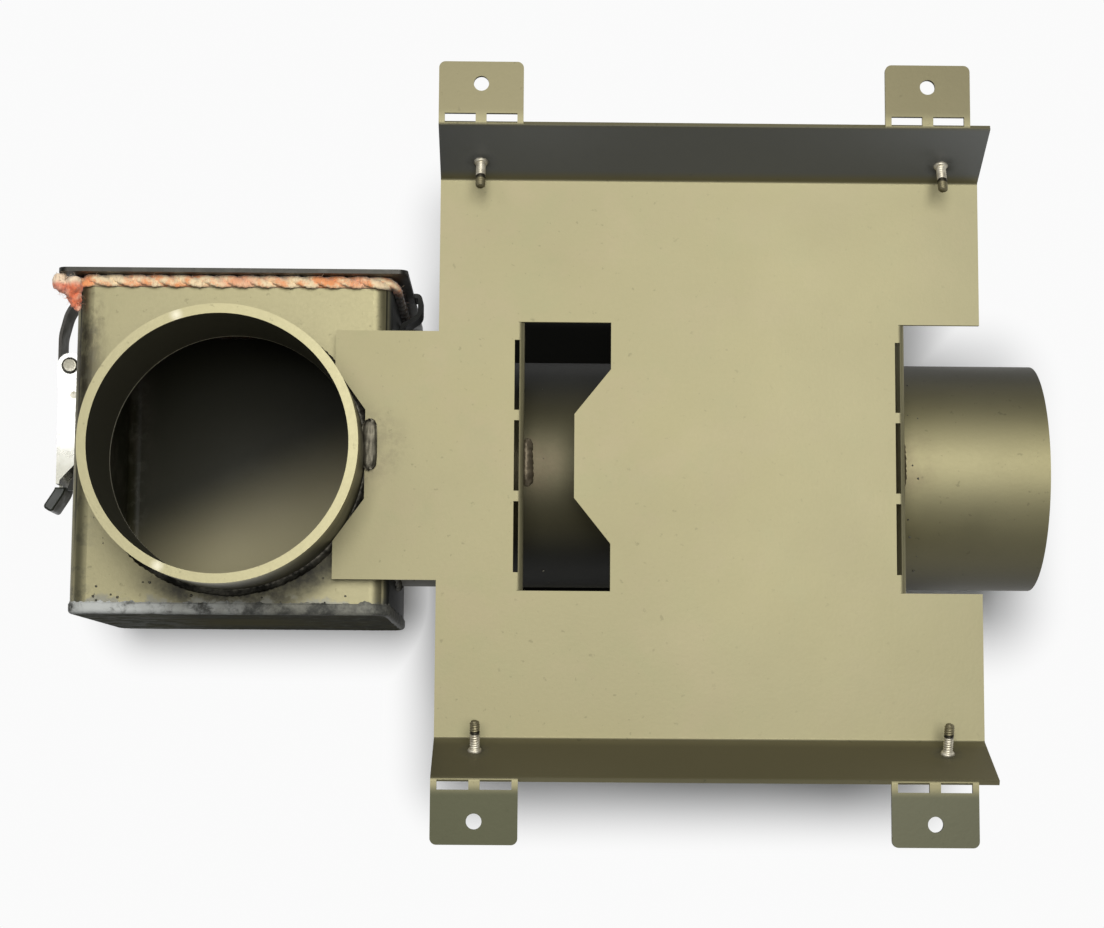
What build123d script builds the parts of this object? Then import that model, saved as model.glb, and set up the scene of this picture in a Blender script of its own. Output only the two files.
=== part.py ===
"""Flue vent adapter: a square clean-out box with a stove collar, a pipe stub and a folded mounting plate.

Frame: the origin is where the collar's axis meets the front plane of the mounting plate.
+Z points out of the collar's mouth, +X along the pipe to its free end, +Y from the box floor to the lid.
All sizes are in millimetres.
"""
import math
import os

from build123d import *

# Flue pipe
PIPE_OD = 76.2
PIPE_WALL = 2.0
PIPE_END_X = 264.8
PIPE_INTO_BOX = 1.0

# Clean-out box, a length of square tube that stands along Y
BOX_WIDTH = 101.6
BOX_WALL = 2.0
BOX_CORNER_R = 6.0
BOX_RIM_Y = 54.2
BOX_FLOOR_Y = -48.8
FLOOR_THICK = 2.0

# Stove collar
COLLAR_BORE_D = 80.24
COLLAR_WALL = 2.95
COLLAR_MOUTH_Z = 27.3
COLLAR_INTO_BOX = 10.2

# Mounting plate, folded from one sheet
SHEET = 1.5
PLATE_STANDOFF = 5.46
PLATE_LEFT_X = 66.2
PLATE_WIDTH = 172.4
PLATE_HEIGHT = 178.3
BEND_R = 1.0
FLANGE_SLANT = 26.4
FLANGE_ANGLE = 63.6
WING_LEFT_X = 33.4
WING_HEIGHT = 79.4
WING_NOTCH_OPEN = 55.4
WING_NOTCH_FLOOR = 28.4

# Saddle tabs folded back from the plate onto the pipe
SADDLE_FACE_X = (93.5, 214.7)
SADDLE_CUT_LENGTH = 27.6
SADDLE_HEIGHT = 85.6
SADDLE_SLOPE = 38.66
SADDLE_END_BRIDGE = 5.7
SADDLE_BRIDGE = 3.3
SADDLE_SLOTS = 3
FOLD_SLOT_WIDTH = 1.6

# Fixing tabs on the flange edges
TAB_WIDTH = 26.5
TAB_LENGTH = 16.5
TAB_RIGHT_INSET = 6.3
TAB_CORNER_R = 2.0
TAB_SLOT_WIDTH = 3.0
TAB_SLOT_OFFSET = 0.8
TAB_END_BRIDGE = 1.9
TAB_BRIDGE = 3.4
TAB_SLOTS = 2
TAB_HOLE_D = 4.76
TAB_HOLE_FROM_TIP = 7.0

# Weld studs on the flanges
STUD_D = 3.2
STUD_LENGTH = 10.0
STUD_INSET = 13.0
STUD_UP_FLANGE = 8.5
STUD_FOOT_D = 4.6
STUD_FOOT = 0.8

# Weld beads
BEAD = 3.0
SPOT_BEAD_R = 2.6
SPOT_BEAD_LENGTH = 16.0
FLOOR_INSET = 1.0
FLOOR_BEAD_PROUD = 0.5
FLOOR_BEAD_LAP = 1.6
FLOOR_BEAD_ROUND = 1.4
WING_BEAD_UP = 3.0

# Lid and its rope gasket
LID_OVERHANG = 5.1
LID_THICK = 1.4
LID_CORNER_R = 3.0
ROPE_WIDTH = 7.6
ROPE_HEIGHT = 3.9
ROPE_ROUND = 1.8
ROPE_LUMP_R = 4.2
ROPE_LUMP_OUT = 2.0

# Keeper on the right wall, which hooks over the lid's edge
KEEPER_SHEET = 1.5
KEEPER_WIDTH = 12.0
KEEPER_LIP = 2.3
KEEPER_STEP_Y = 54.2
KEEPER_FOOT_TOP = 50.4
KEEPER_FOOT_LOW = 42.4
KEEPER_BEND_R = 2.0

# Over-centre latch on the left wall, sizes given off the wall (out) and along Y (up)
PIVOT_OUT = 8.7
PIVOT_UP = 34.5
PIVOT_PIN_D = 3.2
PIVOT_HEAD_D = 5.6
PIVOT_HEAD = 1.1
CLAW_PIN_OUT = 7.2
CLAW_PIN_UP = 24.5
CLAW_PIN_D = 2.5
LEVER_SHEET = 1.2
LEVER_WIDTH = 24.0
LEVER_EAR_R = 4.3
LEVER_INNER_OUT = 5.9
LEVER_OUTER_OUT = 12.3
LEVER_NECK_UP = 27.0
LEVER_WEB_TOP = 12.4
LEVER_HEEL_UP = 1.5
LEVER_WEB_END = -5.5
FINGER_WIDTH = 12.0
FINGER_TIP_OUT = 15.9
FINGER_TIP_UP = -12.4
FINGER_BEND_R = 5.0
FINGER_CORNER_R = 3.0
GRIP_WALL = 1.2
GRIP_GAP = 0.6
BASE_SHEET = 1.2
BASE_BOTTOM_UP = -7.5
BASE_HEEL_OUT = 8.6
BASE_HEEL_TOP_UP = 12.0
BASE_TOP_UP = 42.0
BASE_EAR_R = 3.0
CLAW_SHEET = 1.0
CLAW_WIDTH = 13.0
CLAW_BULGE_OUT = 13.9
CLAW_BULGE_UP = 46.0
CLAW_SHOULDER_OUT = 11.9
CLAW_SHOULDER_UP = 54.0
HOOK_SLOPE = 34.0
HOOK_REACH = 3.0
HOOK_SHOULDER = 3.4
HOOK_BEND_R = 1.6
CLAW_SHOULDER_R = 12.0
CLAW_BULGE_R = 16.0
CLAW_FOOT_R = 6.0

# Rivets
RIVET_D = 3.2
RIVET_HEAD_D = 6.0
RIVET_HEAD = 1.3
RIVET_TAIL_D = 5.0
RIVET_TAIL = 1.0
BASE_RIVET_UPS = (2.5, 14.5)

# Clearances
FIT_GAP = 0.1
SEAT_GAP = 0.1
PIN_PLAY = 0.05
SIDE_GAP = 0.5
HOOK_GAP = 0.25
EDGE_GAP = 1.0

# Derived sizes
PIPE_R = PIPE_OD / 2
COLLAR_BORE_R = COLLAR_BORE_D / 2
COLLAR_R = COLLAR_BORE_R + COLLAR_WALL
BOX_HALF = BOX_WIDTH / 2
PIPE_DEPTH = BOX_HALF + PLATE_STANDOFF
BOX_FRONT_Z = BOX_HALF - PIPE_DEPTH
PLATE_RIGHT_X = PLATE_LEFT_X + PLATE_WIDTH
FLANGE_RISE = FLANGE_SLANT * math.sin(math.radians(FLANGE_ANGLE))
FLANGE_RUN = FLANGE_SLANT * math.cos(math.radians(FLANGE_ANGLE))
FLANGE_EDGE_Y = PLATE_HEIGHT / 2 + FLANGE_RUN
LID_UNDER_Y = BOX_RIM_Y + SEAT_GAP + ROPE_HEIGHT
LID_TOP_Y = LID_UNDER_Y + LID_THICK
LID_HALF = BOX_HALF + LID_OVERHANG
LEVER_INSIDE = LEVER_WIDTH / 2 - LEVER_SHEET
BASE_HALF = LEVER_INSIDE - SIDE_GAP
KEEPER_RIVET_Y = (KEEPER_FOOT_TOP + KEEPER_FOOT_LOW) / 2
FOLD_OUTER_R = SHEET + 0.5

ALONG_Y = Plane(origin=(0, 0, -PIPE_DEPTH), x_dir=(1, 0, 0), z_dir=(0, 1, 0))
ALONG_PIPE = Plane(origin=(0, 0, -PIPE_DEPTH), x_dir=(0, 1, 0), z_dir=(1, 0, 0))


def block(x, y, z):
    """A box given by its (low, high) along each axis."""
    centre = ((x[0] + x[1]) / 2, (y[0] + y[1]) / 2, (z[0] + z[1]) / 2)
    return Pos(*centre) * Box(x[1] - x[0], y[1] - y[0], z[1] - z[0])


def prism_z(points, low, high):
    """A flat outline in X and Y, raised from z = low to z = high."""
    return Pos(0, 0, low) * extrude(make_face(Polyline(*points, close=True)), high - low)


def cylinder_x(radius, low, high, up=0.0, depth=-PIPE_DEPTH):
    """A round bar along X."""
    plane = Plane(origin=(low, up, depth), x_dir=(0, 1, 0), z_dir=(1, 0, 0))
    return extrude(plane * Circle(radius), high - low)


def sheet_from(points, radii, thick, plane, length):
    """A strip bent along an open path: the path is one face, and the thickness lies on its right."""
    path = FilletPolyline(*points, radius=radii)
    outline = offset(path, thick, side=Side.RIGHT, closed=True)
    return extrude(plane * make_face(outline), length)


def hollow_tube(width, wall, corner_r, low, high):
    """A rounded square tube along Y, centred on the pipe's axis."""
    outer = RectangleRounded(width, width, corner_r)
    inner = RectangleRounded(width - 2 * wall, width - 2 * wall, corner_r - wall)
    return Pos(0, low, 0) * extrude(ALONG_Y * (outer - inner), high - low)


def saddle_notch(tip_z):
    """Outline in Y and Z of the cradle cut in a saddle tab: three sides that just clear the pipe."""
    reach = PIPE_R + FIT_GAP
    slope = math.radians(SADDLE_SLOPE)
    top_z = reach - PIPE_DEPTH
    below = tip_z - 1.0
    top_half = reach * (1 - math.cos(slope)) / math.sin(slope)
    tip_half = (reach - (below + PIPE_DEPTH) * math.cos(slope)) / math.sin(slope)
    return [(-top_half, top_z), (top_half, top_z), (tip_half, below), (-tip_half, below)]


def slot_spans(width, end_bridge, bridge, count):
    """The (low, high) of each slot along a perforated fold, centred on zero."""
    slot = (width - 2 * end_bridge - (count - 1) * bridge) / count
    first = -width / 2 + end_bridge
    return [(first + i * (slot + bridge), first + i * (slot + bridge) + slot) for i in range(count)]


def saddle_tab(face_x, tip_z):
    """A tab folded square to the back of the plate, with a cradle for the pipe and a perforated fold."""
    start_x = face_x - FOLD_OUTER_R - SHEET
    path = [(start_x, 0), (face_x, 0), (face_x, tip_z)]
    plane = Plane(origin=(0, SADDLE_HEIGHT / 2, 0), x_dir=(1, 0, 0), z_dir=(0, -1, 0))
    tab = sheet_from(path, FOLD_OUTER_R, SHEET, plane, SADDLE_HEIGHT)
    notch_plane = Plane(origin=(start_x, 0, 0), x_dir=(0, 1, 0), z_dir=(1, 0, 0))
    notch = make_face(Polyline(*saddle_notch(tip_z), close=True))
    tab -= extrude(notch_plane * notch, face_x - start_x + 1)
    return tab


def fixing_tab(left_x, side):
    """A screw tab at a flange's edge, parallel to the plate; side is 1 at the top and -1 at the bottom."""
    tip_y = FLANGE_EDGE_Y + TAB_SLOT_OFFSET + TAB_SLOT_WIDTH + TAB_LENGTH
    low_y = FLANGE_EDGE_Y - FLANGE_RUN / 3
    low_z = FLANGE_RISE * 2 / 3
    path = [(low_y, low_z), (FLANGE_EDGE_Y, FLANGE_RISE), (tip_y, FLANGE_RISE)]
    plane = Plane(origin=(left_x, 0, 0), x_dir=(0, 1, 0), z_dir=(1, 0, 0))
    tab = sheet_from(path, FOLD_OUTER_R, SHEET, plane, TAB_WIDTH)
    corners = tab.edges().filter_by(Axis.Z).group_by(Axis.Y)[-1]
    tab = fillet(corners, TAB_CORNER_R)
    middle_x = left_x + TAB_WIDTH / 2
    slot_y = (FLANGE_EDGE_Y + TAB_SLOT_OFFSET, FLANGE_EDGE_Y + TAB_SLOT_OFFSET + TAB_SLOT_WIDTH)
    depth = (FLANGE_RISE - 2 * SHEET - FOLD_OUTER_R, FLANGE_RISE + SHEET)
    for low, high in slot_spans(TAB_WIDTH, TAB_END_BRIDGE, TAB_BRIDGE, TAB_SLOTS):
        tab -= block((middle_x + low, middle_x + high), slot_y, depth)
    hole = Cylinder(TAB_HOLE_D / 2, 4 * SHEET)
    tab -= Pos(middle_x, tip_y - TAB_HOLE_FROM_TIP, FLANGE_RISE) * hole
    return tab if side > 0 else mirror(tab, Plane.XZ)


def mounting_plate():
    """The folded sheet: face, two slanting flanges, wing, window, notch, saddle tabs and screw tabs."""
    half = PLATE_HEIGHT / 2
    path = [(-FLANGE_EDGE_Y, FLANGE_RISE), (-half, 0), (half, 0), (FLANGE_EDGE_Y, FLANGE_RISE)]
    plane = Plane(origin=(PLATE_LEFT_X, 0, 0), x_dir=(0, 1, 0), z_dir=(1, 0, 0))
    plate = sheet_from(path, BEND_R, SHEET, plane, PLATE_WIDTH)
    wing_half = WING_HEIGHT / 2
    notch_x = COLLAR_R + FIT_GAP
    open_half = WING_NOTCH_OPEN / 2
    floor_half = WING_NOTCH_FLOOR / 2
    wing = [
        (PLATE_LEFT_X + 1, -wing_half),
        (PLATE_LEFT_X + 1, wing_half),
        (WING_LEFT_X, wing_half),
        (WING_LEFT_X, open_half),
        (notch_x, floor_half),
        (notch_x, -floor_half),
        (WING_LEFT_X, -open_half),
        (WING_LEFT_X, -wing_half),
    ]
    plate += prism_z(wing, -SHEET, 0)
    hole_half = SADDLE_HEIGHT / 2 + FIT_GAP
    through = (-2 * SHEET, SHEET)
    fold_x = [face_x - FOLD_OUTER_R for face_x in SADDLE_FACE_X]
    window_right = fold_x[0] + SADDLE_CUT_LENGTH + FOLD_OUTER_R
    plate -= block((fold_x[0], window_right), (-hole_half, hole_half), through)
    plate -= block((fold_x[1], PLATE_RIGHT_X + 1), (-hole_half, hole_half), through)
    tips = (-SADDLE_CUT_LENGTH - FOLD_OUTER_R, fold_x[1] - PLATE_RIGHT_X)
    notch = saddle_notch(tips[0])
    root_x = window_right + tips[0] - notch[0][1]
    tongue = [
        (root_x, -notch[1][0]),
        (root_x, notch[1][0]),
        (window_right + 1, notch[2][0]),
        (window_right + 1, -notch[2][0]),
    ]
    plate += prism_z(tongue, -SHEET, 0)
    for face_x, tip_z in zip(SADDLE_FACE_X, tips):
        plate += saddle_tab(face_x, tip_z)
        slot_x = (face_x - SHEET - FOLD_SLOT_WIDTH, face_x - SHEET)
        for span in slot_spans(SADDLE_HEIGHT, SADDLE_END_BRIDGE, SADDLE_BRIDGE, SADDLE_SLOTS):
            plate -= block(slot_x, span, (-2 * FOLD_OUTER_R, SHEET))
    for left_x in (PLATE_LEFT_X, PLATE_RIGHT_X - TAB_RIGHT_INSET - TAB_WIDTH):
        for side in (1, -1):
            plate += fixing_tab(left_x, side)
    return plate


def weld_stud(x, side):
    """A threaded stud welded square to a flange's inner face."""
    slant = math.radians(FLANGE_ANGLE)
    y = PLATE_HEIGHT / 2 + STUD_UP_FLANGE * math.cos(slant)
    z = STUD_UP_FLANGE * math.sin(slant)
    normal = (0, -side * math.sin(slant), math.cos(slant))
    face = Plane(origin=(x, side * y, z), x_dir=(1, 0, 0), z_dir=normal)
    foot = extrude(Circle(STUD_FOOT_D / 2), STUD_FOOT)
    shank = extrude(Circle(STUD_D / 2), STUD_LENGTH)
    shank = chamfer(shank.edges().group_by(Axis.Z)[-1], STUD_D / 8)
    return face * (foot + shank)


def flue_box():
    """The square tube, with round openings for the collar in front and the pipe on the right."""
    box = hollow_tube(BOX_WIDTH, BOX_WALL, BOX_CORNER_R, BOX_FLOOR_Y, BOX_RIM_Y)
    box -= Pos(0, 0, BOX_FRONT_Z) * Cylinder(COLLAR_R + FIT_GAP, 4 * BOX_WALL)
    box -= cylinder_x(PIPE_R + FIT_GAP, BOX_HALF - 2 * BOX_WALL, BOX_HALF + BOX_WALL)
    for up in BASE_RIVET_UPS:
        box -= cylinder_x(RIVET_D / 2, -BOX_WIDTH, 0, up)
    return box - cylinder_x(RIVET_D / 2, 0, BOX_WIDTH, KEEPER_RIVET_Y)


def box_floor():
    """The floor plate under the tube."""
    width = BOX_WIDTH - 2 * FLOOR_INSET
    outline = RectangleRounded(width, width, BOX_CORNER_R - FLOOR_INSET)
    return Pos(0, BOX_FLOOR_Y - FLOOR_THICK, 0) * extrude(ALONG_Y * outline, FLOOR_THICK)


def floor_weld():
    """The bead that fills the step from floor to tube, laps up the tube and rounds the box's lower edge."""
    grown = BOX_WIDTH + 2 * FLOOR_BEAD_PROUD
    outline = RectangleRounded(grown, grown, BOX_CORNER_R + FLOOR_BEAD_PROUD)
    low = BOX_FLOOR_Y - FLOOR_THICK
    bead = Pos(0, low, 0) * extrude(ALONG_Y * outline, FLOOR_THICK + FLOOR_BEAD_LAP)
    bead = fillet(bead.edges().group_by(Axis.Y)[0], FLOOR_BEAD_ROUND)
    bead = chamfer(bead.edges().group_by(Axis.Y)[-1], FLOOR_BEAD_PROUD * 0.8)
    tube = RectangleRounded(BOX_WIDTH, BOX_WIDTH, BOX_CORNER_R)
    bead -= Pos(0, BOX_FLOOR_Y, 0) * extrude(ALONG_Y * tube, 2 * FLOOR_BEAD_LAP)
    return bead - box_floor()


def stove_collar():
    """The short round tube that the stove's outlet plugs into."""
    inner_end = BOX_FRONT_Z - COLLAR_INTO_BOX
    length = COLLAR_MOUTH_Z - inner_end
    ring = Circle(COLLAR_R) - Circle(COLLAR_BORE_R)
    return Pos(0, 0, inner_end) * extrude(ring, length)


def fillet_bead(radius, size):
    """A ring of weld in the corner between a round wall and a flat face at z = 0."""
    outline = Line((radius, 0), (radius, size))
    outline += ThreePointArc((radius, size), (radius + 0.62 * size, 0.62 * size), (radius + size, 0))
    outline += Line((radius + size, 0), (radius, 0))
    return revolve(Plane.XZ * make_face(outline), Axis.Z)


def collar_weld():
    return Pos(0, 0, BOX_FRONT_Z) * fillet_bead(COLLAR_R, BEAD)


def pipe_weld():
    plane = Plane(origin=(BOX_HALF, 0, -PIPE_DEPTH), x_dir=(0, 1, 0), z_dir=(1, 0, 0))
    return plane * fillet_bead(PIPE_R, BEAD)


def spot_bead():
    """A short bead of weld along Y with round ends."""
    half = SPOT_BEAD_LENGTH / 2
    shoulder = half - SPOT_BEAD_R
    bulge = SPOT_BEAD_R * math.sqrt(0.5)
    outline = Line((0, -half), (0, half))
    outline += ThreePointArc((0, half), (bulge, shoulder + bulge), (SPOT_BEAD_R, shoulder))
    outline += Line((SPOT_BEAD_R, shoulder), (SPOT_BEAD_R, -shoulder))
    outline += ThreePointArc((SPOT_BEAD_R, -shoulder), (bulge, -shoulder - bulge), (0, -half))
    return revolve(make_face(outline), Axis.Y)


def wing_weld():
    """The bead between the collar and the floor of the wing's notch, on the wing's face."""
    bead = Pos(COLLAR_R + SPOT_BEAD_R / 2, WING_BEAD_UP, 0) * spot_bead()
    bead &= block((0, 2 * COLLAR_R), (-COLLAR_R, COLLAR_R), (0, SPOT_BEAD_R))
    return bead - Cylinder(COLLAR_R, 4 * COLLAR_MOUTH_Z)


def saddle_weld(face_x):
    """The bead between a saddle tab's outer face and the top of the pipe."""
    bead = Pos(face_x + SPOT_BEAD_R / 3, 0, PIPE_R - PIPE_DEPTH + SPOT_BEAD_R / 6) * Rot(0, 45, 0) * spot_bead()
    bead -= block((face_x - 2 * SPOT_BEAD_R, face_x), (-PIPE_R, PIPE_R), (-PIPE_DEPTH, 0))
    return bead - cylinder_x(PIPE_R, face_x - 2 * SPOT_BEAD_R, face_x + 4 * SPOT_BEAD_R)


def flue_pipe():
    inner_x = BOX_HALF - BOX_WALL - PIPE_INTO_BOX
    bore = cylinder_x(PIPE_R - PIPE_WALL, inner_x - 1, PIPE_END_X + 1)
    return cylinder_x(PIPE_R, inner_x, PIPE_END_X) - bore


def lid_plate():
    outline = RectangleRounded(2 * LID_HALF, 2 * LID_HALF, LID_CORNER_R)
    return Pos(0, LID_UNDER_Y, 0) * extrude(ALONG_Y * outline, LID_THICK)


def rope_gasket():
    """The rope that lies along the rim under the lid; its two ends meet in a lump at one front corner."""
    middle = BOX_WIDTH - BOX_WALL
    outer = RectangleRounded(middle + ROPE_WIDTH, middle + ROPE_WIDTH, BOX_CORNER_R + ROPE_WIDTH / 2)
    inner = RectangleRounded(middle - ROPE_WIDTH, middle - ROPE_WIDTH, BOX_CORNER_R - ROPE_WIDTH / 2)
    rope = Pos(0, BOX_RIM_Y + SEAT_GAP, 0) * extrude(ALONG_Y * (outer - inner), ROPE_HEIGHT)
    ends = rope.faces().filter_by(Axis.Y)
    rope = fillet(ends[0].edges() + ends[1].edges(), ROPE_ROUND)
    lump_out = BOX_HALF + ROPE_LUMP_OUT
    lump = Pos(-lump_out, LID_UNDER_Y - ROPE_LUMP_R, lump_out - PIPE_DEPTH) * Sphere(ROPE_LUMP_R)
    return rope + lump


def across(outline, width):
    """A flat outline in out and up, given a width centred on the latch."""
    return extrude(outline, width / 2, both=True)


def on_right_wall(shape):
    return Pos(BOX_HALF, 0, -PIPE_DEPTH) * shape


def on_left_wall(shape):
    return mirror(on_right_wall(shape), Plane.YZ)


def side_bar(radius, out, up, width):
    """A round bar across the latch."""
    return Pos(out, up, 0) * Cylinder(radius, width)


def wall_rivet(sheet, up):
    """A domed rivet through a sheet and the box wall, with its formed tail inside."""
    head = extrude(Plane.YZ.offset(sheet) * Circle(RIVET_HEAD_D / 2), RIVET_HEAD)
    head = fillet(head.edges().group_by(Axis.X)[-1], RIVET_HEAD * 0.8)
    shank = extrude(Plane.YZ.offset(-BOX_WALL) * Circle(RIVET_D / 2), sheet + BOX_WALL)
    tail = extrude(Plane.YZ.offset(-BOX_WALL - RIVET_TAIL) * Circle(RIVET_TAIL_D / 2), RIVET_TAIL)
    return Pos(0, up, 0) * (head + shank + tail)


def lid_keeper():
    """The strip that steps out past the rope and ends in a round nose over the lid, on which the lid tilts."""
    inner_out = LID_OVERHANG + EDGE_GAP
    lip_up = LID_TOP_Y + SEAT_GAP
    nose_r = KEEPER_SHEET / 2
    nose_out = LID_OVERHANG - KEEPER_LIP + nose_r
    path = [
        (0, KEEPER_FOOT_LOW),
        (0, KEEPER_FOOT_TOP),
        (inner_out, KEEPER_STEP_Y),
        (inner_out, lip_up),
        (nose_out, lip_up),
    ]
    radii = [KEEPER_BEND_R, KEEPER_BEND_R, EDGE_GAP / 2]
    outline = offset(FilletPolyline(*path, radius=radii), KEEPER_SHEET, side=Side.RIGHT, closed=True)
    profile = make_face(outline) + Pos(nose_out, lip_up + nose_r) * Circle(nose_r)
    strip = across(profile, KEEPER_WIDTH)
    strip -= Pos(0, KEEPER_RIVET_Y, 0) * Rot(0, 90, 0) * Cylinder(RIVET_D / 2, 4 * KEEPER_SHEET)
    return on_right_wall(strip)


def keeper_rivet():
    return on_right_wall(wall_rivet(KEEPER_SHEET, KEEPER_RIVET_Y))


def latch_base():
    """The plate riveted to the box, with two ears that hold the lever's pivot pin."""
    plate = block((0, BASE_SHEET), (BASE_BOTTOM_UP, BASE_TOP_UP), (-BASE_HALF, BASE_HALF))
    corners = plate.edges().filter_by(Axis.X)
    plate = fillet(corners, 2 * BASE_SHEET)
    for up in BASE_RIVET_UPS:
        plate -= Pos(0, up, 0) * Rot(0, 90, 0) * Cylinder(RIVET_D / 2, 4 * BASE_SHEET)
    root = Pos(PIVOT_OUT / 2, PIVOT_UP) * Rectangle(PIVOT_OUT, 2 * BASE_EAR_R)
    ear = root + Pos(PIVOT_OUT, PIVOT_UP) * Circle(BASE_EAR_R)
    ear -= Pos(PIVOT_OUT, PIVOT_UP) * Circle(PIVOT_PIN_D / 2)
    heel = Polyline(
        (0, BASE_BOTTOM_UP),
        (BASE_HEEL_OUT, BASE_BOTTOM_UP),
        (BASE_HEEL_OUT, BASE_BOTTOM_UP + BASE_SHEET),
        (0, BASE_HEEL_TOP_UP),
        close=True,
    )
    ears = extrude(ear, BASE_SHEET) + extrude(make_face(heel), BASE_SHEET)
    plate += Pos(0, 0, -BASE_HALF) * ears
    plate += Pos(0, 0, BASE_HALF - BASE_SHEET) * ears
    return on_left_wall(plate)


def base_rivets():
    return on_left_wall(Compound([wall_rivet(BASE_SHEET, up) for up in BASE_RIVET_UPS]))


def pivot_pin():
    """The headed pin through the base's ears, which the lever turns on."""
    half = LEVER_WIDTH / 2 + FIT_GAP
    pin = side_bar(PIVOT_PIN_D / 2, PIVOT_OUT, PIVOT_UP, 2 * half)
    head = extrude(Circle(PIVOT_HEAD_D / 2), PIVOT_HEAD)
    head = Pos(PIVOT_OUT, PIVOT_UP, half) * fillet(head.edges().group_by(Axis.Z)[-1], PIVOT_HEAD * 0.8)
    return on_left_wall(pin + head + mirror(head, Plane.XY))


def claw_pin():
    return on_left_wall(side_bar(CLAW_PIN_D / 2, CLAW_PIN_OUT, CLAW_PIN_UP, LEVER_WIDTH))


def latch_lever():
    """The pressed channel: two ears, a web below the claw's swing and a flared finger tip."""
    ear = make_face(
        Polyline(
            (LEVER_INNER_OUT, LEVER_HEEL_UP),
            (LEVER_OUTER_OUT, LEVER_WEB_END),
            (LEVER_OUTER_OUT, CLAW_PIN_UP),
            (PIVOT_OUT + LEVER_EAR_R, PIVOT_UP),
            (PIVOT_OUT - LEVER_EAR_R, PIVOT_UP),
            (LEVER_INNER_OUT, LEVER_NECK_UP),
            close=True,
        )
    )
    ear += Pos(PIVOT_OUT, PIVOT_UP) * Circle(LEVER_EAR_R)
    ear -= Pos(PIVOT_OUT, PIVOT_UP) * Circle(PIVOT_PIN_D / 2 + PIN_PLAY)
    ear -= Pos(CLAW_PIN_OUT, CLAW_PIN_UP) * Circle(CLAW_PIN_D / 2)
    ears = extrude(ear, LEVER_SHEET)
    web_out = (LEVER_OUTER_OUT - LEVER_SHEET, LEVER_OUTER_OUT)
    lever = block(web_out, (LEVER_WEB_END, LEVER_WEB_TOP), (-LEVER_WIDTH / 2, LEVER_WIDTH / 2))
    lever += Pos(0, 0, LEVER_INSIDE) * ears
    lever += Pos(0, 0, -LEVER_INSIDE - LEVER_SHEET) * ears
    finger = across(finger_profile(), FINGER_WIDTH)
    corners = finger.edges().filter_by(lambda edge: edge.length < 2 * LEVER_SHEET)
    finger = fillet(corners.group_by(Axis.Y)[0], FINGER_CORNER_R)
    return on_left_wall(lever + finger)


def finger_profile():
    """The finger seen from the side: the web's sheet drawn on and flared outwards."""
    path = [
        (LEVER_OUTER_OUT, LEVER_HEEL_UP),
        (LEVER_OUTER_OUT, LEVER_WEB_END - LEVER_SHEET),
        (FINGER_TIP_OUT, FINGER_TIP_UP),
    ]
    curl = FilletPolyline(*path, radius=FINGER_BEND_R)
    return make_face(offset(curl, LEVER_SHEET, side=Side.RIGHT, closed=True))


def finger_grip():
    """The dark dipped sleeve on the finger, as thick all round as its wall."""
    outline = offset(finger_profile(), GRIP_WALL)
    above = Pos(LEVER_OUTER_OUT, LEVER_WEB_END - GRIP_GAP) * Rectangle(
        4 * LEVER_OUTER_OUT, 4 * LEVER_OUTER_OUT, align=(Align.CENTER, Align.MIN)
    )
    sleeve = across(outline - above, FINGER_WIDTH + 2 * GRIP_WALL)
    ends = sleeve.faces().sort_by(Axis.Z)
    sleeve = fillet(ends[0].edges() + ends[-1].edges(), GRIP_WALL * 0.6)
    return on_left_wall(sleeve) - latch_lever()


def hook_point(along, across_sheet):
    """A point by the hook: along the slope from the lid's corner, inwards and up, and off its underside."""
    slope = math.radians(HOOK_SLOPE)
    off = HOOK_GAP + across_sheet
    out = LID_OVERHANG + off * math.sin(slope) - along * math.cos(slope)
    up = LID_TOP_Y + off * math.cos(slope) + along * math.sin(slope)
    return (out, up)


def latch_claw():
    """The bowed spring strip: an eye round the claw pin, a bulge past the pivot and a hook on the lid."""
    eye_r = CLAW_PIN_D / 2 + PIN_PLAY + CLAW_SHEET
    path = [
        hook_point(HOOK_REACH, CLAW_SHEET),
        hook_point(-HOOK_SHOULDER, CLAW_SHEET),
        (CLAW_SHOULDER_OUT, CLAW_SHOULDER_UP),
        (CLAW_BULGE_OUT, CLAW_BULGE_UP),
        (CLAW_BULGE_OUT - PIN_PLAY, PIVOT_UP),
        (CLAW_PIN_OUT + eye_r, CLAW_PIN_UP),
    ]
    bends = [HOOK_BEND_R, CLAW_SHOULDER_R, CLAW_BULGE_R, CLAW_FOOT_R]
    bow = FilletPolyline(*path, radius=bends)
    strip = make_face(offset(bow, CLAW_SHEET, side=Side.RIGHT, closed=True))
    strip += Pos(CLAW_PIN_OUT, CLAW_PIN_UP) * Circle(eye_r)
    strip -= Pos(CLAW_PIN_OUT, CLAW_PIN_UP) * Circle(CLAW_PIN_D / 2 + PIN_PLAY)
    return on_left_wall(across(strip, CLAW_WIDTH))


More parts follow.
